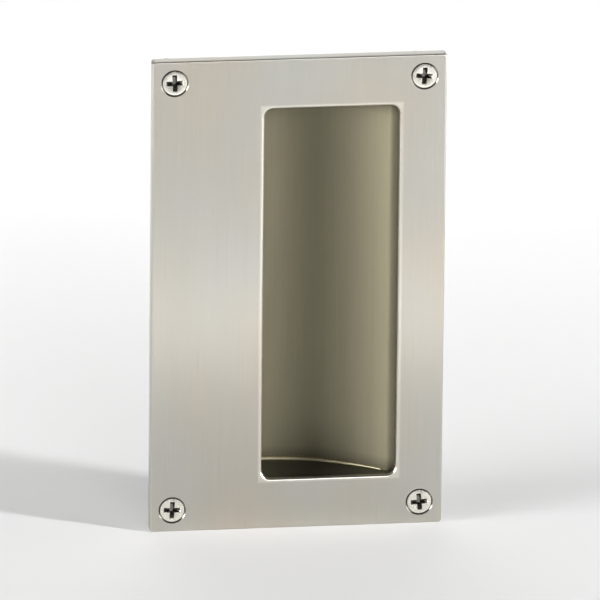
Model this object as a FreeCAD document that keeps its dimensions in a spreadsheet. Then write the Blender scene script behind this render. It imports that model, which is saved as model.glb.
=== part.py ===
import FreeCAD, Part
import os

import Sketcher
from FreeCAD import Vector

# A flush pull for a sliding pocket door, shown closed up as it is fixed to the door.
# X runs to the right, Z up and Y into the door. The back of the face plate lies on Y = 0.
# A pressed trough behind the opening is deepest under the wide land, where the fingers hook in.

# Driving sizes in millimetres, and one angle in degrees
SIZES = (
    ("plate_width", 72.0, "face plate, side to side"),
    ("plate_height", 120.0, "face plate, top to bottom"),
    ("plate_thickness", 3.0, "face plate"),
    ("plate_corner_radius", 0.8, "corners of the face plate's outline"),
    ("plate_rim_round", 0.5, "front rim of the face plate"),
    ("opening_width", 33.0, "opening for the fingers"),
    ("narrow_land", 11.5, "plate to the right of the opening"),
    ("end_land", 12.8, "plate above and below the opening"),
    ("opening_corner_radius", 2.2, "corners of the opening"),
    ("opening_rim_round", 0.8, "front rim of the opening"),
    ("screw_inset_across", 5.5, "screw axis to the plate's side"),
    ("screw_inset_along", 5.5, "screw axis to the plate's top or bottom"),
    ("head_diameter", 6.2, "countersunk head"),
    ("head_rim", 0.15, "straight rim of the head"),
    ("head_ring_gap", 0.3, "ring between the head and the countersink's mouth"),
    ("countersink_angle", 90.0, "head and countersink, in degrees"),
    ("neck_diameter", 2.7, "plain neck of the screw, inside the plate"),
    ("shank_diameter", 3.1, "screw shank over its thread, from the plate's back on"),
    ("shank_clearance", 0.2, "shank to its hole, on the radius"),
    ("screw_length", 20.0, "head to tip"),
    ("tip_length", 3.6, "screw tip"),
    ("tip_flat", 0.3, "blunt end of the tip, on the radius"),
    ("recess_span", 4.0, "cross recess, across the wings at the top"),
    ("recess_foot_span", 1.5, "cross recess, across the wings at the foot"),
    ("recess_wing", 1.0, "thickness of a wing at the top"),
    ("recess_foot_wing", 0.7, "thickness of a wing at the foot"),
    ("recess_depth", 1.8, "cross recess"),
    ("sheet_thickness", 1.2, "trough and end caps"),
    ("pocket_depth", 12.5, "inside of the trough, from the plate's back"),
    ("ledge_width", 0.8, "flat of the trough that shows beside the narrow land"),
    ("undercut_reach", 12.0, "finger space behind the wide land"),
    ("undercut_radius", 7.5, "inside of the trough under the wide land"),
    ("bend_radius", 1.8, "front of the bends between trough and flanges"),
    ("flange_width", 6.0, "lap of each flange on the plate's back"),
)

# Places that several pieces share, as expressions on the sheet
PLATE_BACK = "0"
OPENING_RIGHT = "Sizes.plate_width / 2 - Sizes.narrow_land"
OPENING_LEFT = f"{OPENING_RIGHT} - Sizes.opening_width"
OPENING_TOP = "(Sizes.plate_height / 2 - Sizes.end_land)"
LEDGE_START = f"{OPENING_RIGHT} - Sizes.ledge_width"
UNDERCUT_WALL = f"{OPENING_LEFT} - Sizes.undercut_reach"
SWEEP_SPAN = "(Sizes.opening_width - Sizes.ledge_width)"
SWEEP_AND_BEND = f"(({SWEEP_SPAN} ^ 2 + Sizes.pocket_depth ^ 2) / (2 * Sizes.pocket_depth))"
SWEEP_RADIUS = f"({SWEEP_AND_BEND} - Sizes.bend_radius)"
HALF_ANGLE = "(Sizes.countersink_angle / 2 * 1 deg)"
HEAD_SINK = f"Sizes.head_ring_gap / tan({HALF_ANGLE}) - Sizes.head_rim"
HEAD_TAPER = f"(Sizes.head_diameter - Sizes.neck_diameter) / 2 / tan({HALF_ANGLE})"
HEAD_HEIGHT = f"Sizes.head_rim + {HEAD_TAPER}"
THREAD_START = f"Sizes.plate_thickness - ({HEAD_SINK})"

START, END, CENTRE = range(1, 4)
ORIGIN = (-1, START)
QUARTER = 90.0
FULL_TURN = 360.0
NEAR = 1e-4

doc = FreeCAD.newDocument("pocket_door_pull")


def fill_sheet():
    """Writes the driving sizes, one row each: what it is, and its value under its name"""
    sheet = doc.addObject("Spreadsheet::Sheet", "Sizes")
    for row, (alias, value, note) in enumerate(SIZES, start=1):
        sheet.set(f"A{row}", note)
        sheet.set(f"B{row}", str(value))
        sheet.setAlias(f"B{row}", alias)
    doc.recompute()
    return sheet


sheet = fill_sheet()


def number(expression):
    """The value of an expression on the sheet, as a plain number"""
    found = sheet.evalExpression(expression)
    return float(getattr(found, "Value", found))


def origin_feature(body, role):
    return next(item for item in body.Origin.OriginFeatures if item.Role == role)


def new_body(label):
    body = doc.addObject("PartDesign::Body", label)
    body.Label = label
    return body


def new_sketch(body, name, plane, lift=None):
    """A sketch on one of the body's own planes, raised along its normal by an expression"""
    sketch = body.newObject("Sketcher::SketchObject", name)
    sketch.AttachmentSupport = [(origin_feature(body, plane), "")]
    sketch.MapMode = "FlatFace"
    if lift:
        sketch.setExpression("AttachmentOffset.Base.z", lift)
    return sketch


def tie(sketch, name, kind, *where, to):
    """Adds a dimension to a sketch and ties it to an expression on the sheet"""
    sketch.addConstraint(Sketcher.Constraint(kind, *where, number(to)))
    sketch.renameConstraint(sketch.ConstraintCount - 1, name)
    sketch.setExpression(f"Constraints.{name}", to)


def tie_place(sketch, name, element, end, across=None, along=None):
    """Ties a point's distances from the sketch's origin"""
    if across:
        tie(sketch, f"{name}_across", "DistanceX", *ORIGIN, element, end, to=across)
    if along:
        tie(sketch, f"{name}_along", "DistanceY", *ORIGIN, element, end, to=along)


def line(sketch, start, end):
    return sketch.addGeometry(Part.LineSegment(Vector(*start, 0), Vector(*end, 0)))


def arc(sketch, centre, radius, first, last):
    """An arc that runs anticlockwise between two angles in degrees"""
    circle = Part.Circle(Vector(*centre, 0), Vector(0, 0, 1), radius)
    return sketch.addGeometry(Part.ArcOfCircle(circle, radians(first), radians(last)))


def radians(degrees):
    return FreeCAD.Units.Quantity(f"{degrees} deg").getValueAs("rad").Value


def constrain(sketch, *rules):
    for rule in rules:
        sketch.addConstraint(Sketcher.Constraint(*rule))


def rectangle(sketch, left, right, low, high):
    """A rectangle whose four sides are tied to expressions"""
    x0, x1, y0, y1 = (number(side) for side in (left, right, low, high))
    corners = ((x0, y0), (x1, y0), (x1, y1), (x0, y1))
    sides = [line(sketch, corners[i], corners[(i + 1) % 4]) for i in range(4)]
    for i, side in enumerate(sides):
        flat = "Horizontal" if i % 2 == 0 else "Vertical"
        constrain(sketch, ("Coincident", side, END, sides[(i + 1) % 4], START), (flat, side))
    tie_place(sketch, "low_left", sides[0], START, left, low)
    tie_place(sketch, "high_right", sides[2], START, right, high)


def polygon(sketch, places):
    """A closed outline whose corners are tied to pairs of expressions"""
    corners = [(number(across), number(along)) for across, along in places]
    count = len(corners)
    sides = [line(sketch, corners[i], corners[(i + 1) % count]) for i in range(count)]
    for i, side in enumerate(sides):
        constrain(sketch, ("Coincident", side, END, sides[(i + 1) % count], START))
    for i, (across, along) in enumerate(places):
        tie_place(sketch, f"corner_{i}", sides[i], START, across, along)


def edges_where(feature, test):
    """Names of the feature's edges that pass a test"""
    return [f"Edge{i}" for i, edge in enumerate(feature.Shape.Edges, start=1) if test(edge)]


def round_edges(body, name, radius, test):
    """Rounds the edges of the body's last feature that pass a test"""
    doc.recompute()
    base = body.Tip
    fillet = body.newObject("PartDesign::Fillet", name)
    fillet.Base = (base, edges_where(base, test))
    fillet.setExpression("Radius", radius)
    return fillet


def check_cut(feature, base):
    """Stops if a cut took nothing away"""
    doc.recompute()
    if not feature.Shape.Volume < base.Shape.Volume - NEAR:
        raise RuntimeError(f"{feature.Name} cuts nothing")


def runs_through(edge, half_width, half_height, shift=0.0):
    """True for an edge along Y at a corner of a rectangle centred on X = shift"""
    box = edge.BoundBox
    deep = box.YLength > NEAR and box.XLength < NEAR and box.ZLength < NEAR
    at_side = abs(abs(box.Center.x - shift) - half_width) < NEAR
    return deep and at_side and abs(abs(box.Center.z) - half_height) < NEAR


def on_front(edge, front, half_width, half_height, shift=0.0):
    """True for an edge on the front face inside a rectangle's outline, and touching its sides"""
    box = edge.BoundBox
    if box.YLength > NEAR or abs(box.Center.y - front) > NEAR:
        return False
    reach_across = max(abs(box.XMin - shift), abs(box.XMax - shift))
    reach_along = max(abs(box.ZMin), abs(box.ZMax))
    at_side = abs(reach_across - half_width) < NEAR or abs(reach_along - half_height) < NEAR
    return at_side and reach_across < half_width + NEAR and reach_along < half_height + NEAR


def make_face_plate():
    """The front plate: cut to size, its opening and four countersunk holes made, rims eased"""
    body = new_body("face_plate")
    outline = new_sketch(body, "plate_outline", "XZ_Plane")
    rectangle(
        outline,
        "-Sizes.plate_width / 2",
        "Sizes.plate_width / 2",
        "-Sizes.plate_height / 2",
        "Sizes.plate_height / 2",
    )
    pad = body.newObject("PartDesign::Pad", "plate_blank")
    pad.Profile = outline
    pad.setExpression("Length", "Sizes.plate_thickness")
    half_width = number("Sizes.plate_width / 2")
    half_height = number("Sizes.plate_height / 2")
    front = -number("Sizes.plate_thickness")
    round_edges(
        body,
        "plate_corners",
        "Sizes.plate_corner_radius",
        lambda edge: runs_through(edge, half_width, half_height),
    )
    round_edges(
        body,
        "plate_rim",
        "Sizes.plate_rim_round",
        lambda edge: on_front(edge, front, half_width, half_height),
    )

    mouth = new_sketch(body, "opening_outline", "XZ_Plane")
    rectangle(mouth, OPENING_LEFT, OPENING_RIGHT, f"-{OPENING_TOP}", OPENING_TOP)
    doc.recompute()
    base = body.Tip
    opening = body.newObject("PartDesign::Pocket", "opening")
    opening.Profile = mouth
    opening.Reversed = True
    opening.Type = "ThroughAll"
    check_cut(opening, base)
    mouth_width = number("Sizes.opening_width / 2")
    mouth_height = number(OPENING_TOP)
    middle = number(OPENING_LEFT) + mouth_width
    round_edges(
        body,
        "opening_corners",
        "Sizes.opening_corner_radius",
        lambda edge: runs_through(edge, mouth_width, mouth_height, middle),
    )
    round_edges(
        body,
        "opening_rim",
        "Sizes.opening_rim_round",
        lambda edge: on_front(edge, front, mouth_width, mouth_height, middle),
    )

    centres = new_sketch(body, "screw_centres", "XZ_Plane", lift="Sizes.plate_thickness")
    for name, across, along in SCREW_PLACES:
        x, z = number(across), number(along)
        circle = Part.Circle(Vector(x, z, 0), Vector(0, 0, 1), number("Sizes.shank_diameter / 2"))
        hole = centres.addGeometry(circle)
        tie_place(centres, name, hole, CENTRE, across, along)
        tie(centres, f"{name}_radius", "Radius", hole, to="Sizes.shank_diameter / 2")
    doc.recompute()
    base = body.Tip
    holes = body.newObject("PartDesign::Hole", "countersunk_holes")
    holes.Profile = centres
    doc.recompute()
    holes.DepthType = "ThroughAll"
    holes.HoleCutType = "Countersink"
    holes.HoleCutCustomValues = True
    holes.setExpression("Diameter", "Sizes.shank_diameter + 2 * Sizes.shank_clearance")
    holes.setExpression("HoleCutDiameter", "Sizes.head_diameter + 2 * Sizes.head_ring_gap")
    holes.setExpression("HoleCutCountersinkAngle", "Sizes.countersink_angle")
    check_cut(holes, base)
    return body


def make_trough():
    """The bent sheet behind the opening: flange, ledge, long sweep, floor, undercut and flange"""
    ledge, wall, floor = number(LEDGE_START), number(UNDERCUT_WALL), number("Sizes.pocket_depth")
    deepest, sweep = number(OPENING_LEFT), number(SWEEP_RADIUS)
    bend, undercut = number("Sizes.bend_radius"), number("Sizes.undercut_radius")
    right_end = f"{OPENING_RIGHT} + Sizes.flange_width"
    left_end = f"{UNDERCUT_WALL} - Sizes.bend_radius - Sizes.flange_width"
    slope = number(f"acos(1 - Sizes.pocket_depth / {SWEEP_AND_BEND})")
    crest = sweep * number(f"sin({slope} deg)")

    path = doc.addObject("Sketcher::SketchObject", "trough_front")
    turn = (deepest + crest, floor - sweep + sweep * number(f"cos({slope} deg)"))
    right_flange = line(path, (number(right_end), 0), (ledge, 0))
    right_bend = arc(path, (ledge, bend), bend, 3 * QUARTER - slope, 3 * QUARTER)
    long_sweep = arc(path, (deepest, floor - sweep), sweep, QUARTER - slope, QUARTER)
    floor_run = line(path, (deepest, floor), (wall + undercut, floor))
    under = arc(path, (wall + undercut, floor - undercut), undercut, QUARTER, 2 * QUARTER)
    wall_run = line(path, (wall, floor - undercut), (wall, bend))
    left_bend = arc(path, (wall - bend, bend), bend, -QUARTER, 0)
    left_flange = line(path, (wall - bend, 0), (number(left_end), 0))
    constrain(
        path,
        ("Tangent", right_flange, END, right_bend, END),
        ("Tangent", right_bend, START, long_sweep, START),
        ("Tangent", long_sweep, END, floor_run, START),
        ("Tangent", floor_run, END, under, START),
        ("Tangent", under, END, wall_run, START),
        ("Tangent", wall_run, END, left_bend, END),
        ("Tangent", left_bend, START, left_flange, START),
        ("Horizontal", right_flange),
        ("Horizontal", floor_run),
        ("Vertical", wall_run),
        ("Horizontal", left_flange),
    )
    tie_place(path, "right_end", right_flange, START, right_end, PLATE_BACK)
    tie_place(path, "ledge", right_flange, END, across=LEDGE_START)
    tie_place(path, "deepest", long_sweep, END, OPENING_LEFT, "Sizes.pocket_depth")
    tie_place(path, "wall", under, END, across=UNDERCUT_WALL)
    tie_place(path, "left_end", left_flange, END, left_end, PLATE_BACK)
    tie(path, "right_bend", "Radius", right_bend, to="Sizes.bend_radius")
    tie(path, "left_bend", "Radius", left_bend, to="Sizes.bend_radius")
    tie(path, "undercut", "Radius", under, to="Sizes.undercut_radius")

    section = doc.addObject("Part::Offset2D", "trough_section")
    section.Source = path
    section.Mode = "Skin"
    section.Fill = True
    section.setExpression("Value", "Sizes.sheet_thickness")
    trough = doc.addObject("Part::Extrusion", "pocket_trough")
    trough.Label = "pocket_trough"
    trough.Base = section
    trough.DirMode = "Custom"
    trough.Dir = Vector(0, 0, 1)
    trough.Solid = True
    trough.Symmetric = True
    trough.setExpression("LengthFwd", f"2 * {OPENING_TOP}")
    return trough


def make_end_cap(label, height):
    """A flat cap with the trough's outer outline, welded over one of its ends"""
    body = new_body(label)
    outline = new_sketch(body, f"{label}_outline", "XY_Plane")
    outer_wall = f"{UNDERCUT_WALL} - Sizes.sheet_thickness"
    outer_floor = "Sizes.pocket_depth + Sizes.sheet_thickness"
    outer_sweep = f"{SWEEP_RADIUS} + Sizes.sheet_thickness"
    outer_undercut = "Sizes.undercut_radius + Sizes.sheet_thickness"
    drop = f"({outer_sweep} - Sizes.pocket_depth)"
    reach = f"sqrt(({outer_sweep}) ^ 2 - {drop} ^ 2)"
    wall, floor, deepest = number(outer_wall), number(outer_floor), number(OPENING_LEFT)
    sweep, undercut = number(outer_sweep), number(outer_undercut)
    sheet_back, right = number("Sizes.sheet_thickness"), deepest + number(reach)
    slope = number(f"acos({drop} / ({outer_sweep}))")

    long_sweep = arc(outline, (deepest, floor - sweep), sweep, QUARTER - slope, QUARTER)
    floor_run = line(outline, (deepest, floor), (wall + undercut, floor))
    under = arc(outline, (wall + undercut, floor - undercut), undercut, QUARTER, 2 * QUARTER)
    wall_run = line(outline, (wall, floor - undercut), (wall, 0))
    front = line(outline, (wall, 0), (right, 0))
    toe = line(outline, (right, 0), (right, sheet_back))
    constrain(
        outline,
        ("Tangent", long_sweep, END, floor_run, START),
        ("Tangent", floor_run, END, under, START),
        ("Tangent", under, END, wall_run, START),
        ("Coincident", wall_run, END, front, START),
        ("Coincident", front, END, toe, START),
        ("Coincident", toe, END, long_sweep, START),
        ("Horizontal", floor_run),
        ("Vertical", wall_run),
        ("Horizontal", front),
        ("Vertical", toe),
    )
    tie_place(outline, "deepest", long_sweep, END, OPENING_LEFT, outer_floor)
    tie_place(outline, "front", front, START, outer_wall, PLATE_BACK)
    tie_place(outline, "toe", toe, END, along="Sizes.sheet_thickness")
    tie(outline, "sweep", "Radius", long_sweep, to=outer_sweep)
    tie(outline, "undercut", "Radius", under, to=outer_undercut)
    pad = body.newObject("PartDesign::Pad", f"{label}_sheet")
    pad.Profile = outline
    pad.setExpression("Length", "Sizes.sheet_thickness")
    body.setExpression("Placement.Base.z", height)
    return body


def make_screw(label, across, along):
    """A countersunk wood screw with a cross recess, its axis along Y and its head in front"""
    body = new_body(label)
    profile = new_sketch(body, f"{label}_profile", "XY_Plane")
    polygon(
        profile,
        (
            ("0", "0"),
            ("Sizes.head_diameter / 2", "0"),
            ("Sizes.head_diameter / 2", "Sizes.head_rim"),
            ("Sizes.neck_diameter / 2", HEAD_HEIGHT),
            ("Sizes.neck_diameter / 2", THREAD_START),
            ("Sizes.shank_diameter / 2", THREAD_START),
            ("Sizes.shank_diameter / 2", "Sizes.screw_length - Sizes.tip_length"),
            ("Sizes.tip_flat", "Sizes.screw_length"),
            ("0", "Sizes.screw_length"),
        ),
    )
    turned = body.newObject("PartDesign::Revolution", f"{label}_turned")
    turned.Profile = profile
    turned.ReferenceAxis = (profile, ["V_Axis"])
    turned.Angle = FULL_TURN
    doc.recompute()

    top = new_sketch(body, f"{label}_wing_top", "XZ_Plane")
    rectangle(
        top,
        "-Sizes.recess_span / 2",
        "Sizes.recess_span / 2",
        "-Sizes.recess_wing / 2",
        "Sizes.recess_wing / 2",
    )
    foot = new_sketch(body, f"{label}_wing_foot", "XZ_Plane", lift="-Sizes.recess_depth")
    rectangle(
        foot,
        "-Sizes.recess_foot_span / 2",
        "Sizes.recess_foot_span / 2",
        "-Sizes.recess_foot_wing / 2",
        "Sizes.recess_foot_wing / 2",
    )
    wing = body.newObject("PartDesign::SubtractiveLoft", f"{label}_wing")
    wing.Profile = top
    wing.Sections = [foot]
    wing.Ruled = True
    check_cut(wing, turned)
    cross = body.newObject("PartDesign::PolarPattern", f"{label}_cross")
    cross.Originals = [wing]
    cross.Axis = (origin_feature(body, "Y_Axis"), [""])
    cross.Angle = QUARTER
    cross.Occurrences = 2
    body.Tip = cross
    check_cut(cross, wing)
    body.setExpression("Placement.Base.x", across)
    body.setExpression("Placement.Base.y", f"-Sizes.plate_thickness + {HEAD_SINK}")
    body.setExpression("Placement.Base.z", along)
    return body


SCREW_RIGHT = "(Sizes.plate_width / 2 - Sizes.screw_inset_across)"
SCREW_TOP = "(Sizes.plate_height / 2 - Sizes.screw_inset_along)"
SCREW_PLACES = (
    ("upper_left", f"-{SCREW_RIGHT}", SCREW_TOP),
    ("upper_right", SCREW_RIGHT, SCREW_TOP),
    ("lower_left", f"-{SCREW_RIGHT}", f"-{SCREW_TOP}"),
    ("lower_right", SCREW_RIGHT, f"-{SCREW_TOP}"),
)


def check_document():
    """Stops if anything in the document failed to build"""
    for item in doc.Objects:
        if "Invalid" in item.State or "Error" in item.State:
            raise RuntimeError(f"{item.Label} did not build: {item.State}")


def export(piece):
    """Writes one piece to its own file, named for the piece"""
    shape = piece.Shape
    if shape.isNull() or not shape.isValid() or not shape.Solids:
        raise RuntimeError(f"{piece.Label} has no valid solid")
    shape.exportStep(os.path.join("parts", f"{piece.Label}.step"))
    print(f"{piece.Label}: {len(shape.Solids)} solid, {shape.Volume:.1f} cubic millimetres")


pieces = [
    make_face_plate(),
    make_trough(),
    make_end_cap("upper_end_cap", OPENING_TOP),
    make_end_cap("lower_end_cap", f"-{OPENING_TOP} - Sizes.sheet_thickness"),
]
pieces += [make_screw(f"screw_{name}", across, along) for name, across, along in SCREW_PLACES]
doc.recompute()
check_document()
os.makedirs("parts", exist_ok=True)
for piece in pieces:
    export(piece)
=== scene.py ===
import math

import bmesh
import bpy
from mathutils import Matrix, Quaternion, Vector


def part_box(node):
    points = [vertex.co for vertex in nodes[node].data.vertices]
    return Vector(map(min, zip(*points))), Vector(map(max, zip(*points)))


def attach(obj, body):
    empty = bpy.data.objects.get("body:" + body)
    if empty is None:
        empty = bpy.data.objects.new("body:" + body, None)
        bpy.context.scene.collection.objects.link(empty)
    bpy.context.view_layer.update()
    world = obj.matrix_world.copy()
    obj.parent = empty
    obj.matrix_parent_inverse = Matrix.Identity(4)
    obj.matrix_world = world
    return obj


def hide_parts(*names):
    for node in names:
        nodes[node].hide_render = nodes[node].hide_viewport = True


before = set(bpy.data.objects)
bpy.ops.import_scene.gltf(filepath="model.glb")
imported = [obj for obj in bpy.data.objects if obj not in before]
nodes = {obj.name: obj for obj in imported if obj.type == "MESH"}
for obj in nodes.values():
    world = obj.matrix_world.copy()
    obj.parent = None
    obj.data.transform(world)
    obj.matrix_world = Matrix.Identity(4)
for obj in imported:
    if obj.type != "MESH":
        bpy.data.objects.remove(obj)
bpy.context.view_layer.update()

# A flush pull for a sliding pocket door: a brushed stainless face plate with a bent trough behind
# its opening, two welded end caps and four countersunk wood screws. Lengths are in metres, and MM
# turns millimetres into them. X runs to the right, Z up and Y into the door.
MM = 0.001
PLATE_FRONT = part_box("face_plate")[0].y
PLATE_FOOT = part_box("face_plate")[0].z
TROUGH_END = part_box("pocket_trough")[1].z

# The opening is as long as the trough
OPENING_CENTRE = 8.0 * MM
OPENING_HALF = 16.5 * MM

# The trough's front outline, as the bent sheet has it, with the sweep's slope in degrees
DEEPEST_X = -8.5 * MM
POCKET_DEPTH = 12.5 * MM
SWEEP_RADIUS = 45.92 * MM
SWEEP_SLOPE = 42.43
UNDERCUT_RADIUS = 7.5 * MM
FLOOR_RUN = 4.5 * MM
SHEET = 1.2 * MM

# The welds. A bead starts so many degrees short of the bend at the sweep's front, and thins
# towards it. Its ripples are narrow and full by turns.
INNER_BEAD_RADIUS = 0.95 * MM
OUTER_BEAD_RADIUS = 0.5 * MM
BEAD_GAP = 1.5
BEAD_STEP = 0.585 * MM
BEAD_NARROW = 0.86
BEAD_THINNING = 0.75
BEAD_TAPER_START = 10 * MM
BEAD_END = 22.5 * MM
BEAD_CLIMB = 2.4 * MM
SPOT_WELD_RADIUS = 2.1 * MM
SPOT_WELD_RISE = 0.12 * MM
SPOT_WELD_LEFT = -25.5 * MM
SPOT_WELD_RIGHT = 27.2 * MM
SPOT_WELD_HEIGHTS = (-36 * MM, -12 * MM, 12 * MM, 36 * MM)

# The screws, from the head down
HEAD_RADIUS = 2.95 * MM
HEAD_RIM = 0.3 * MM
HEAD_TAPER = 1.6 * MM
NECK_RADIUS = 1.35 * MM
THREAD_RADIUS = 1.55 * MM
THREAD_ROOT = 1.05 * MM
THREAD_START = 2.85 * MM
THREAD_PITCH = 1.35 * MM
TIP_START = 16.4 * MM
TIP_TAPER = 0.93
SCREW_LENGTH = 20.0 * MM
RECESS_SPAN = 4.2 * MM
RECESS_FOOT_SPAN = 1.8 * MM
RECESS_WING = 1.15 * MM
RECESS_FOOT_WING = 0.8 * MM
RECESS_DEPTH = 2.2 * MM
SINK_RADIUS = 3.4 * MM
SCREW_LOW, SCREW_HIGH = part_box("screw_upper_right")
SCREW_X = (SCREW_LOW.x + SCREW_HIGH.x) / 2
SCREW_Z = (SCREW_LOW.z + SCREW_HIGH.z) / 2
HEAD_FACE = SCREW_LOW.y

# How far each screw was turned when it was driven home, in degrees
SCREW_TURNS = {"upper_left": 3, "upper_right": -4, "lower_left": -2, "lower_right": 5}

# The camera, with its angles in degrees. It looks from a little to the left, and down.
SENSOR = 36 * MM
CAMERA_DISTANCE = 3.0
CAMERA_AZIMUTH = -7.9
CAMERA_ELEVATION = 18.0
CAMERA_ROLL = 0.57
VIEW_WIDTH = 146 * MM
AIM = Vector((0.5 * MM, PLATE_FRONT, -1.5 * MM))

# The studio: its own pale light, the floor's, and how far off the lamps stand
WORLD_GLOW = 0.05
FLOOR_GLOW = 0.02
FLOOR_SIZE = 16
SIDE_LAMP_DISTANCE = 0.9
FAR_LAMP_DISTANCE = 1.5

# The part of its range, from 0 to 1, that a noise really covers
NOISE_RANGE = (0.3, 0.7)


# Node trees

def hex_colour(text):
    """An sRGB hex value as the linear colour that a shader takes"""
    parts = [int(text[i:i + 2], 16) / 255 for i in (1, 3, 5)]
    return [p / 12.92 if p <= 0.04045 else ((p + 0.055) / 1.055) ** 2.4 for p in parts] + [1]


def add(tree, kind, *inputs, **named):
    """Adds a node. Its inputs come in order or by name, each as a value, as the output that feeds
    it, or as a node whose first output does. Other names are the node's own settings."""
    node = tree.nodes.new("ShaderNode" + kind)
    for key, value in {**dict(enumerate(inputs)), **named}.items():
        if isinstance(key, str) and hasattr(node, key):
            setattr(node, key, value)
            continue
        socket = node.inputs[key.replace("_", " ") if isinstance(key, str) else key]
        if isinstance(value, bpy.types.Node):
            value = value.outputs[0]
        if isinstance(value, bpy.types.NodeSocket):
            tree.links.new(value, socket)
        else:
            socket.default_value = value
    return node


def new_tree(name):
    material = bpy.data.materials.new(name)
    material.use_nodes = True
    material.node_tree.nodes.clear()
    return material, material.node_tree


def folded_place(tree, centre=(0, 0, 0)):
    """The place on the object from a centre, with every side folded onto the positive one"""
    place = add(tree, "TexCoord").outputs["Object"]
    from_centre = add(tree, "VectorMath", place, centre, operation="SUBTRACT")
    return add(tree, "VectorMath", from_centre, operation="ABSOLUTE")


def depth_shade(tree, start, end, low, high):
    """Runs from a low to a high shade over a range of depths, along Y into the door"""
    place = add(tree, "TexCoord").outputs["Object"]
    return add(tree, "MapRange", add(tree, "SeparateXYZ", place).outputs["Y"], start, end, low, high)


def drawn_noise(tree, across, along, detail):
    """Noise drawn out along Z, its widths in metres: the marks of a belt or a die that ran upright"""
    place = add(tree, "TexCoord").outputs["Object"]
    drawn = add(tree, "Mapping", place, Scale=(1 / across, 1 / across, 1 / along))
    return add(tree, "TexNoise", Vector=drawn, Scale=1.0, Detail=detail, Roughness=0.65)


def tone(tree, noise, first, second):
    """Wanders between two hex colours with a noise"""
    ends = zip(hex_colour(first)[:3], hex_colour(second)[:3])
    channels = [add(tree, "MapRange", noise, *NOISE_RANGE, *levels) for levels in ends]
    return add(tree, "CombineColor", *channels)


def shaded(tree, colour, *shades):
    """A colour, as a hex value or a node, multiplied by grey shades"""
    if isinstance(colour, str):
        colour = add(tree, "CombineColor", *hex_colour(colour)[:3])
    for shade in shades:
        colour = add(tree, "VectorMath", colour, operation="SCALE", Scale=shade)
    return colour


def metal(tree, **inputs):
    """Closes a tree with a metal surface"""
    surface = add(tree, "BsdfPrincipled", Metallic=1.0, **inputs)
    add(tree, "OutputMaterial", Surface=surface)


# Finishes

def level_tangent(tree):
    """The level direction along the surface, across upright scratches. The slight lean of the
    upright gives faces that look straight up or down a direction too."""
    facing = add(tree, "NewGeometry").outputs["Normal"]
    return add(tree, "VectorMath", facing, (0, 0.05, 1), operation="CROSS_PRODUCT")


def countersink_shade(tree):
    """Painted shade within a countersink, for the shadow in the gap round a screw's head, and 1
    elsewhere and on the plate's back. The distance is from the nearest screw's axis, as folding
    brings all four onto one corner."""
    level = add(tree, "VectorMath", folded_place(tree), (1, 0, 1), operation="MULTIPLY")
    corner = (SCREW_X, 0, SCREW_Z)
    off_axis = add(tree, "VectorMath", level, corner, operation="DISTANCE").outputs["Value"]
    mouth = (SINK_RADIUS - 0.1 * MM, SINK_RADIUS + 0.03 * MM)
    sink = add(tree, "MapRange", off_axis, *mouth, 0.3, 1)
    behind = depth_shade(tree, -0.8 * MM, -0.3 * MM, 0, 1)
    return add(tree, "Math", sink, behind, operation="MAXIMUM")


def opening_shade(tree):
    """A painted highlight on the opening's rounded rim, and painted shade on the cut walls behind it,
    darkest on the lower one; 1 elsewhere"""
    folded = add(tree, "SeparateXYZ", folded_place(tree, (OPENING_CENTRE, 0, 0))).outputs
    edges = ((folded["X"], OPENING_HALF), (folded["Z"], TROUGH_END))
    inside = [
        add(tree, "MapRange", offset, edge + 0.02 * MM, edge + 0.04 * MM, 1, 0)
        for offset, edge in edges
    ]
    near = [
        add(tree, "MapRange", offset, edge + 0.7 * MM, edge + 1.2 * MM, 1.3, 1)
        for offset, edge in edges
    ]
    behind_rim = depth_shade(tree, PLATE_FRONT + 0.6 * MM, PLATE_FRONT + 0.9 * MM, 0, 1)
    place = add(tree, "TexCoord").outputs["Object"]
    height = add(tree, "SeparateXYZ", place).outputs["Z"]
    # Painted shade that deepens along the lower wall
    foot = (0.5 * MM - TROUGH_END, 2 * MM - TROUGH_END)
    darkness = add(tree, "MapRange", height, *foot, 0.95, 0.65)
    for share in (*inside, behind_rim):
        darkness = add(tree, "Math", darkness, share, operation="MULTIPLY")
    wall = add(tree, "Math", 1, darkness, operation="SUBTRACT")
    # A painted highlight along the opening's rim
    rim = add(tree, "Math", *near, operation="MINIMUM")
    return add(tree, "Math", wall, rim, operation="MULTIPLY")


def belt_brushed_stainless():
    """Face plate: stainless sheet brushed upright on a fine belt. It gives a soft satin glow that
    spreads sideways, faint upright hairlines and slow changes from cool to warm grey. Painted shade
    darkens the countersinks and draws a dark ring round each screw. Painted shade also darkens the
    opening's cut walls, most of all the lower one, and a painted highlight lightens its rim.
    Real hairlines are about 0.08 mm wide; these are 0.3 mm, so that they show at all."""
    material, tree = new_tree("belt_brushed_stainless")
    hairline = drawn_noise(tree, 0.3 * MM, 26 * MM, 5.0)
    belt_pass = drawn_noise(tree, 5 * MM, 90 * MM, 2.0)
    warmth = drawn_noise(tree, 26 * MM, 40 * MM, 1.0)
    colour = shaded(
        tree,
        tone(tree, warmth, "#c2c1ba", "#c5beb2"),
        add(tree, "MapRange", hairline, *NOISE_RANGE, 0.97, 1.03),
        add(tree, "MapRange", belt_pass, *NOISE_RANGE, 0.985, 1.015),
        # Painted shade in the countersinks, and painted shade and a painted highlight round the opening
        countersink_shade(tree),
        opening_shade(tree),
    )
    metal(
        tree,
        Base_Color=colour,
        Roughness=add(tree, "MapRange", hairline, *NOISE_RANGE, 0.27, 0.33),
        Anisotropic=0.7,
        Tangent=level_tangent(tree),
        Normal=add(tree, "Bump", Distance=0.0015 * MM, Height=hairline),
    )
    return material


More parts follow.
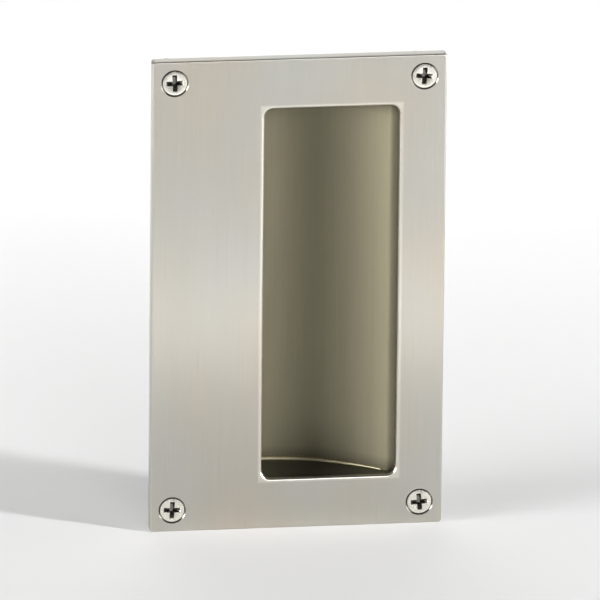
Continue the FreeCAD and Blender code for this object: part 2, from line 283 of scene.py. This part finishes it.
def pickled_stainless():
    """Trough: stainless sheet, bent and welded, then pickled clean of scale. It is duller, darker
    and warmer than the plate, with faint upright drawing marks and soft cloudy patches. A little
    of the welds' heat tint is left along both ends."""
    material, tree = new_tree("pickled_stainless_sheet")
    marks = drawn_noise(tree, 0.5 * MM, 30 * MM, 4.0)
    cloud = drawn_noise(tree, 7 * MM, 22 * MM, 3.0)
    grain = drawn_noise(tree, 0.12 * MM, 0.12 * MM, 2.0)
    from_middle = add(tree, "SeparateXYZ", folded_place(tree)).outputs["Z"]
    tinted = (TROUGH_END - 3.5 * MM, TROUGH_END - 0.5 * MM)
    colour = shaded(
        tree,
        "#8d8873",
        add(tree, "MapRange", marks, *NOISE_RANGE, 0.97, 1.03),
        add(tree, "MapRange", cloud, *NOISE_RANGE, 0.96, 1.04),
        add(tree, "MapRange", from_middle, *tinted, 1.0, 0.6),
    )
    metal(
        tree,
        Base_Color=colour,
        Roughness=add(tree, "MapRange", cloud, *NOISE_RANGE, 0.59, 0.65),
        Normal=add(tree, "Bump", Distance=0.003 * MM, Height=grain),
    )
    return material


def heat_scaled_stainless():
    """End caps: welded in all round. Their dark colour is painted shade, for the shadow at the
    trough's ends; they are a little smoother than the trough, and mirror its dim inside."""
    material, tree = new_tree("heat_scaled_stainless_sheet")
    cloud = drawn_noise(tree, 5 * MM, 5 * MM, 3.0)
    grain = drawn_noise(tree, 0.15 * MM, 0.15 * MM, 2.0)
    metal(
        tree,
        # The dark base colour is painted shade
        Base_Color=shaded(tree, "#54534a", add(tree, "MapRange", cloud, *NOISE_RANGE, 0.92, 1.08)),
        Roughness=add(tree, "MapRange", cloud, *NOISE_RANGE, 0.36, 0.46),
        Normal=add(tree, "Bump", Distance=0.002 * MM, Height=grain),
    )
    return material


def tumbled_steel():
    """Screws: bright turned and tumbled steel, a little glossier than the plate. The cross recess
    and the rim are darkened by painted shade, which fades out towards the head's bright face. The
    shank behind the plate is bright again."""
    material, tree = new_tree("tumbled_steel_screw")
    grain = drawn_noise(tree, 0.25 * MM, 0.25 * MM, 3.0)
    # Painted shade in the cross recess and round the rim
    residue = depth_shade(tree, HEAD_FACE + 0.04 * MM, HEAD_FACE + 0.3 * MM, 1.0, 0.22)
    shank = depth_shade(tree, -0.7 * MM, -0.3 * MM, 0.22, 0.9)
    colour = shaded(
        tree,
        "#f2eee4",
        add(tree, "MapRange", grain, *NOISE_RANGE, 0.95, 1.03),
        add(tree, "Math", residue, shank, operation="MAXIMUM"),
    )
    metal(
        tree,
        Base_Color=colour,
        Roughness=add(tree, "MapRange", grain, *NOISE_RANGE, 0.22, 0.32),
        Normal=add(tree, "Bump", Distance=0.002 * MM, Height=grain),
    )
    return material


def brushed_weld():
    """Weld beads and spot welds: brushed off after welding, with a straw heat tint left on them"""
    material, tree = new_tree("brushed_weld_metal")
    grain = drawn_noise(tree, 0.3 * MM, 0.3 * MM, 3.0)
    metal(
        tree,
        Base_Color=shaded(tree, "#b5ad90", add(tree, "MapRange", grain, *NOISE_RANGE, 0.93, 1.07)),
        Roughness=add(tree, "MapRange", grain, *NOISE_RANGE, 0.4, 0.5),
        Normal=add(tree, "Bump", Distance=0.006 * MM, Height=grain),
    )
    return material


# Modelling by hand

def start_alone():
    """Leaves edit mode and deselects everything, so that an operator acts on one piece only"""
    if bpy.context.mode != "OBJECT":
        bpy.ops.object.mode_set(mode="OBJECT")
    bpy.ops.object.select_all(action="DESELECT")


def select_only(*pieces):
    start_alone()
    for piece in pieces:
        piece.select_set(True)
    bpy.context.view_layer.objects.active = pieces[0]


def freeze(piece):
    """Puts a piece's place, turn and scale into its mesh"""
    select_only(piece)
    bpy.ops.object.transform_apply(location=True, rotation=True, scale=True)


def pick_faces(piece, test):
    """In edit mode, selects the faces that pass a test"""
    bpy.ops.mesh.select_mode(type="FACE")
    bpy.ops.mesh.select_all(action="DESELECT")
    mesh = bmesh.from_edit_mesh(piece.data)
    for face in mesh.faces:
        face.select_set(test(face))
    bmesh.update_edit_mesh(piece.data)


def apply_modifier(piece, name, kind, **settings):
    modifier = piece.modifiers.new(name, kind)
    for key, value in settings.items():
        setattr(modifier, key, value)
    select_only(piece)
    bpy.ops.object.modifier_apply(modifier=modifier.name)


def ease_edges(piece, width, turn):
    """Rounds the edges where the surface turns by more than an angle in degrees"""
    apply_modifier(
        piece,
        "eased",
        "BEVEL",
        width=width,
        segments=2,
        limit_method="ANGLE",
        angle_limit=math.radians(turn),
    )


def extrude(*step):
    bpy.ops.mesh.extrude_region_move(TRANSFORM_OT_translate={"value": step})


def shrink(across, along):
    bpy.ops.transform.resize(value=(across, along, 1))


def one_vertex(name, place):
    """An object with a single vertex, in edit mode, from which a line is drawn"""
    start_alone()
    bpy.ops.mesh.primitive_plane_add(size=MM)
    piece = bpy.context.object
    piece.name = name
    bpy.ops.object.mode_set(mode="EDIT")
    bpy.ops.mesh.select_mode(type="VERT")
    bpy.ops.mesh.select_all(action="SELECT")
    bpy.ops.mesh.merge(type="CENTER")
    bpy.ops.transform.translate(value=place)
    return piece


def finish_piece(piece, name, material, smooth_angle=35):
    piece.name = name
    piece.data.name = name
    select_only(piece)
    bpy.ops.object.shade_smooth_by_angle(angle=math.radians(smooth_angle))
    piece.data.materials.clear()
    piece.data.materials.append(material)
    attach(piece, "root")


# Screws

def make_head():
    """The screw's head and plain neck, its top at Z = 0, with a cross recess cut in"""
    start_alone()
    bpy.ops.mesh.primitive_cylinder_add(
        vertices=64, radius=HEAD_RADIUS, depth=HEAD_RIM, location=(0, 0, -HEAD_RIM / 2)
    )
    head = bpy.context.object
    freeze(head)
    bpy.ops.object.mode_set(mode="EDIT")
    pick_faces(head, lambda face: face.normal.z < -0.9)
    extrude(0, 0, -HEAD_TAPER)
    shrink(NECK_RADIUS / HEAD_RADIUS, NECK_RADIUS / HEAD_RADIUS)
    extrude(0, 0, -(THREAD_START + THREAD_PITCH - HEAD_RIM - HEAD_TAPER))
    bpy.ops.object.mode_set(mode="OBJECT")
    for turned in (False, True):
        wing = make_wing(turned)
        apply_modifier(head, "cross", "BOOLEAN", object=wing, operation="DIFFERENCE", solver="EXACT")
        bpy.data.objects.remove(wing)
    ease_edges(head, 0.07 * MM, 32)
    return head


def make_wing(turned):
    """One wing of the cross recess, as a tapered block that stands a little above the head"""
    above = 0.3 * MM
    grown = above / RECESS_DEPTH
    span = RECESS_SPAN + (RECESS_SPAN - RECESS_FOOT_SPAN) * grown
    thick = RECESS_WING + (RECESS_WING - RECESS_FOOT_WING) * grown
    height = RECESS_DEPTH + above
    start_alone()
    bpy.ops.mesh.primitive_cube_add(
        size=1, location=(0, 0, above - height / 2), scale=(span, thick, height)
    )
    wing = bpy.context.object
    freeze(wing)
    bpy.ops.object.mode_set(mode="EDIT")
    pick_faces(wing, lambda face: face.normal.z < -0.9)
    shrink(RECESS_FOOT_SPAN / span, RECESS_FOOT_WING / thick)
    bpy.ops.object.mode_set(mode="OBJECT")
    if turned:
        wing.rotation_euler.z = math.radians(90)
        freeze(wing)
    return wing


def make_thread():
    """The threaded shank: one pitch of its profile, swept round and down, then tapered to a point.
    It is drawn with the taper's start at Z = 0, where the taper's own zero lies."""
    length = SCREW_LENGTH - THREAD_START
    turns = round(length / THREAD_PITCH)
    pitch = length / turns
    thread = one_vertex("thread", (THREAD_ROOT, 0, TIP_START - THREAD_START))
    # Each stretch of the profile, as its step outwards and its share of the pitch
    rise = THREAD_RADIUS - THREAD_ROOT
    for out, share in ((0, 0.34), (rise, 0.26), (0, 0.1), (-rise, 0.3)):
        extrude(out, 0, -share * pitch)
    bpy.ops.object.mode_set(mode="OBJECT")
    apply_modifier(
        thread,
        "sweep",
        "SCREW",
        axis="Z",
        angle=math.tau,
        screw_offset=-pitch,
        iterations=turns - 1,
        steps=28,
        render_steps=28,
        use_merge_vertices=False,
    )
    bpy.ops.object.mode_set(mode="EDIT")
    bpy.ops.mesh.select_all(action="SELECT")
    bpy.ops.mesh.remove_doubles(threshold=0.01 * MM)
    bpy.ops.mesh.select_all(action="DESELECT")
    bpy.ops.mesh.select_mode(type="EDGE")
    bpy.ops.mesh.select_non_manifold()
    bpy.ops.mesh.fill_holes(sides=0)
    bpy.ops.mesh.select_all(action="SELECT")
    bpy.ops.mesh.normals_make_consistent(inside=False)
    bpy.ops.object.mode_set(mode="OBJECT")
    heights = [vertex.co.z for vertex in thread.data.vertices]
    low, high = min(heights), max(heights)
    apply_modifier(
        thread,
        "tip",
        "SIMPLE_DEFORM",
        deform_method="TAPER",
        deform_axis="Z",
        limits=(0.0, -low / (high - low)),
        factor=TIP_TAPER,
    )
    thread.location.z = -TIP_START
    freeze(thread)
    return thread


def make_screws(material):
    """Models one screw and sets a copy of it, with its own mesh, in each corner"""
    head = make_head()
    thread = make_thread()
    select_only(head, thread)
    bpy.ops.object.join()
    master = bpy.context.object
    # The master points down, and a quarter turn about X points it into the door.
    into_door = Matrix.Rotation(math.radians(90), 4, "X")
    for corner, turn in SCREW_TURNS.items():
        node = f"screw_{corner}"
        low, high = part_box(node)
        screw = master.copy()
        screw.data = master.data.copy()
        bpy.context.scene.collection.objects.link(screw)
        place = Matrix.Translation(((low.x + high.x) / 2, low.y, (low.z + high.z) / 2))
        screw.matrix_world = place @ into_door @ Matrix.Rotation(math.radians(turn), 4, "Z")
        freeze(screw)
        finish_piece(screw, f"wood_{node}", material)
        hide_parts(node)
    bpy.data.objects.remove(master)


# Welds

def bead_steps(length):
    """The number of a bead's ripples along a length of its line"""
    return round(length / BEAD_STEP)


def draw_arc(radius, angle, centre):
    """Draws an arc on from the selected vertex, anticlockwise about Z, which spin counts as
    negative. The radius is the trough's, for the number of steps."""
    steps = bead_steps(radius * math.radians(angle))
    bpy.ops.mesh.spin(steps=steps, angle=-math.radians(angle), center=centre, axis=(0, 0, 1), dupli=False)


def draw_run(x, y):
    """Draws a straight line on from the selected vertex"""
    steps = bead_steps(math.hypot(x, y))
    for _ in range(steps):
        extrude(x / steps, y / steps, 0)


def make_bead(name, height, offset, radius, material):
    """A weld bead along the trough's profile, at a height and so far outside its front face"""
    sweep = SWEEP_RADIUS + offset
    centre_y = POCKET_DEPTH - SWEEP_RADIUS
    start = math.radians(90 - SWEEP_SLOPE + BEAD_GAP)
    place = (DEEPEST_X + sweep * math.cos(start), centre_y + sweep * math.sin(start), height)
    bead = one_vertex(name, place)
    draw_arc(SWEEP_RADIUS, SWEEP_SLOPE - BEAD_GAP, (DEEPEST_X, centre_y, height))
    draw_run(-FLOOR_RUN, 0)
    draw_arc(UNDERCUT_RADIUS, 90, (DEEPEST_X - FLOOR_RUN, POCKET_DEPTH - UNDERCUT_RADIUS, height))
    draw_run(0, -BEAD_CLIMB)
    bpy.ops.object.mode_set(mode="OBJECT")
    select_only(bead)
    bpy.ops.object.convert(target="CURVE")
    curve = bpy.context.object
    curve.data.bevel_depth = radius
    curve.data.bevel_resolution = 3
    curve.data.use_fill_caps = True
    for i, point in enumerate(curve.data.splines[0].points):
        run_out = (point.co.x - BEAD_TAPER_START) / (BEAD_END - BEAD_TAPER_START)
        ripple = 1.0 if i % 2 else BEAD_NARROW
        point.radius = ripple * min(1.0, 1.0 - BEAD_THINNING * run_out)
    bpy.ops.object.convert(target="MESH")
    bead = bpy.context.object
    bpy.ops.object.mode_set(mode="EDIT")
    bpy.ops.mesh.select_all(action="SELECT")
    bpy.ops.mesh.remove_doubles(threshold=0.001 * MM)
    bpy.ops.mesh.normals_make_consistent(inside=False)
    bpy.ops.object.mode_set(mode="OBJECT")
    finish_piece(bead, name, material, smooth_angle=60)


def make_spot_weld(name, x, z, material):
    """The shallow dished mark of a spot weld, on the back of a flange"""
    start_alone()
    bpy.ops.mesh.primitive_cylinder_add(
        vertices=40, radius=SPOT_WELD_RADIUS, depth=SPOT_WELD_RISE, location=(0, 0, SPOT_WELD_RISE / 2)
    )
    mark = bpy.context.object
    freeze(mark)
    bpy.ops.object.mode_set(mode="EDIT")
    pick_faces(mark, lambda face: face.normal.z > 0.9)
    bpy.ops.mesh.inset(thickness=0.45 * MM, depth=0)
    bpy.ops.mesh.inset(thickness=0.25 * MM, depth=-0.09 * MM)
    bpy.ops.mesh.inset(thickness=0.5 * MM, depth=0)
    bpy.ops.object.mode_set(mode="OBJECT")
    ease_edges(mark, 0.05 * MM, 15)
    # A quarter turn about X the other way faces the mark into the door.
    mark.matrix_world = Matrix.Translation((x, SHEET, z)) @ Matrix.Rotation(math.radians(-90), 4, "X")
    freeze(mark)
    finish_piece(mark, name, material)


def make_welds(material):
    for side, end in (("upper", TROUGH_END), ("lower", -TROUGH_END)):
        make_bead(f"inner_weld_{side}", end, 0, INNER_BEAD_RADIUS, material)
        make_bead(f"outer_weld_{side}", end, SHEET, OUTER_BEAD_RADIUS, material)
    for side, x in (("left", SPOT_WELD_LEFT), ("right", SPOT_WELD_RIGHT)):
        for i, z in enumerate(SPOT_WELD_HEIGHTS):
            make_spot_weld(f"spot_weld_{side}_{i + 1}", x, z, material)


# Floor, light and camera

def make_floor():
    """A matt pale floor. A little of its paleness is its own, for what the camera and metal see."""
    start_alone()
    bpy.ops.mesh.primitive_grid_add(
        x_subdivisions=2, y_subdivisions=2, size=FLOOR_SIZE, location=(0, 0, PLATE_FOOT)
    )
    floor = bpy.context.object
    freeze(floor)
    floor.name = "pale_floor"
    material, tree = new_tree("matt_pale_floor")
    paint = hex_colour("#e6e6e6")
    matt = add(tree, "BsdfPrincipled", Base_Color=paint, Roughness=0.9, Specular_IOR_Level=0.1)
    ray = add(tree, "LightPath").outputs
    seen = add(tree, "Math", ray["Is Camera Ray"], ray["Is Glossy Ray"], operation="MAXIMUM")
    seen = add(tree, "Math", seen, ray["Is Transmission Ray"], operation="MAXIMUM")
    glow = add(tree, "Emission", Strength=add(tree, "Math", seen, FLOOR_GLOW, operation="MULTIPLY"))
    add(tree, "OutputMaterial", Surface=add(tree, "AddShader", matt, glow))
    floor.data.materials.append(material)


def direction(azimuth, elevation):
    """From the object towards a place round it; azimuth 0 is in front, 90 to the right"""
    round_z = math.radians(azimuth)
    up = math.radians(elevation)
    return Vector((math.sin(round_z) * math.cos(up), -math.cos(round_z) * math.cos(up), math.sin(up)))


def softbox(name, place, aim, width, height, radiance, spread=180.0):
    """A softbox whose face has the given radiance"""
    data = bpy.data.lights.new(name, "AREA")
    data.shape = "RECTANGLE"
    data.size = width
    data.size_y = height
    data.energy = radiance * math.pi * width * height
    data.spread = math.radians(spread)
    lamp = bpy.data.objects.new(name, data)
    bpy.context.scene.collection.objects.link(lamp)
    lamp.location = place
    lamp.rotation_mode = "QUATERNION"
    lamp.rotation_quaternion = (Vector(aim) - Vector(place)).to_track_quat("-Z", "Y")
    lamp.visible_camera = False


def make_lights():
    """Soft side lamps light the trough's two sides past the opening's edges, and leave its middle
    dim. A low lamp lights a strip of the floor in front, which the middle of the plate mirrors."""
    centre = (0, 0, 0)
    softbox("back_softbox", direction(178, 20) * FAR_LAMP_DISTANCE, centre, 1.7, 0.8, 1.0)
    softbox("floor_softbox", (0, 0.55, 0.9), (0, 0.38, PLATE_FOOT), 0.9, 0.3, 1.3, 50)
    softbox("overhead_softbox", (0, 0.22, 1.1), (0, 0.02, 0), 0.9, 0.3, 0.6)
    softbox("front_softbox", direction(8, 24) * FAR_LAMP_DISTANCE, centre, 0.5, 0.3, 8.5)
    softbox("left_softbox_60", direction(-60, 12) * SIDE_LAMP_DISTANCE, centre, 0.25, 0.35, 9.5)
    softbox("left_softbox_75", direction(-75, 12) * SIDE_LAMP_DISTANCE, centre, 0.25, 0.35, 18.2)
    softbox("left_softbox_82", direction(-82, 10) * SIDE_LAMP_DISTANCE, centre, 0.15, 0.35, 7.0)
    softbox("right_softbox_60", direction(60, 10) * SIDE_LAMP_DISTANCE, centre, 0.08, 0.3, 175.0)
    strip = Vector((0.03, -0.166, PLATE_FOOT))
    softbox("floor_strip", strip + Vector((0, 0, 0.055)), strip, 0.3, 0.04, 1.55, 90)


def make_world():
    world = bpy.data.worlds.new("pale_studio")
    world.use_nodes = True
    tree = world.node_tree
    tree.nodes.clear()
    glow = add(tree, "Background", Color=hex_colour("#ffffff"), Strength=WORLD_GLOW)
    add(tree, "OutputWorld", Surface=glow)
    bpy.context.scene.world = world


def make_camera():
    """A long lens at the photograph's angle"""
    data = bpy.data.cameras.new("camera")
    data.sensor_width = SENSOR / MM
    data.lens = SENSOR / MM * CAMERA_DISTANCE / VIEW_WIDTH
    data.clip_start = 0.1
    data.clip_end = 50
    camera = bpy.data.objects.new("camera", data)
    bpy.context.scene.collection.objects.link(camera)
    back = direction(CAMERA_AZIMUTH, CAMERA_ELEVATION)
    camera.location = AIM + back * CAMERA_DISTANCE
    camera.rotation_mode = "QUATERNION"
    upright = (-back).to_track_quat("-Z", "Y")
    camera.rotation_quaternion = upright @ Quaternion((0, 0, 1), math.radians(CAMERA_ROLL))
    bpy.context.scene.camera = camera


# Putting it together

plate_metal = belt_brushed_stainless()
trough_metal = pickled_stainless()
cap_metal = heat_scaled_stainless()
screw_metal = tumbled_steel()
weld_metal = brushed_weld()

for name, node in nodes.items():
    finish = trough_metal
    if name == "face_plate":
        finish = plate_metal
    elif name.endswith("end_cap"):
        finish = cap_metal
    elif name.startswith("screw"):
        finish = screw_metal
    for material_slot in node.material_slots:
        material_slot.material = finish

make_screws(screw_metal)
make_welds(weld_metal)
make_floor()
make_world()
make_lights()
make_camera()
bpy.context.scene.view_settings.view_transform = "Standard"
